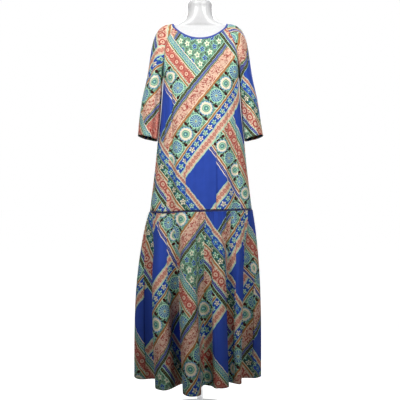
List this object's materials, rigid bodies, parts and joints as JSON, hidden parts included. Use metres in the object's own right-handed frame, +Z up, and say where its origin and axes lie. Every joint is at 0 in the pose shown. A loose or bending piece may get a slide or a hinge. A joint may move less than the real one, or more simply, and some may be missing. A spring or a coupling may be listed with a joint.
{
  "type": "maxi dress on a dress form",
  "caption": "Long printed dress with raglan sleeves and a gathered skirt, worn by a limbless dress form on a round stand.",
  "frame": {"origin": "on the floor at the centre of the stand's base plate", "axes": "+Z up along the pole, the front of the dress faces -Y, the viewer's right is +X"},
  "size_m": [0.518, 0.4773, 1.653],
  "materials": {
    "printed_cloth": "matt woven cloth with a multicolour patchwork print",
    "binding_cloth": "plain cobalt blue woven cloth",
    "piping_cloth": "dark navy satin cloth over a cord",
    "form_gloss": "glossy white",
    "stand_metal": "brushed",
    "base_paint": "satin white paint"
  },
  "bodies": {
    "root": {"bodice_front": "printed_cloth", "bodice_back": "printed_cloth", "sleeve_left": "printed_cloth", "sleeve_right": "printed_cloth", "skirt_front": "printed_cloth", "skirt_back": "printed_cloth", "neck_binding": "binding_cloth", "hip_piping": "piping_cloth", "form_torso": "form_gloss", "stand_pole": "stand_metal", "stand_base": "base_paint"}
  },
  "joints": []
}
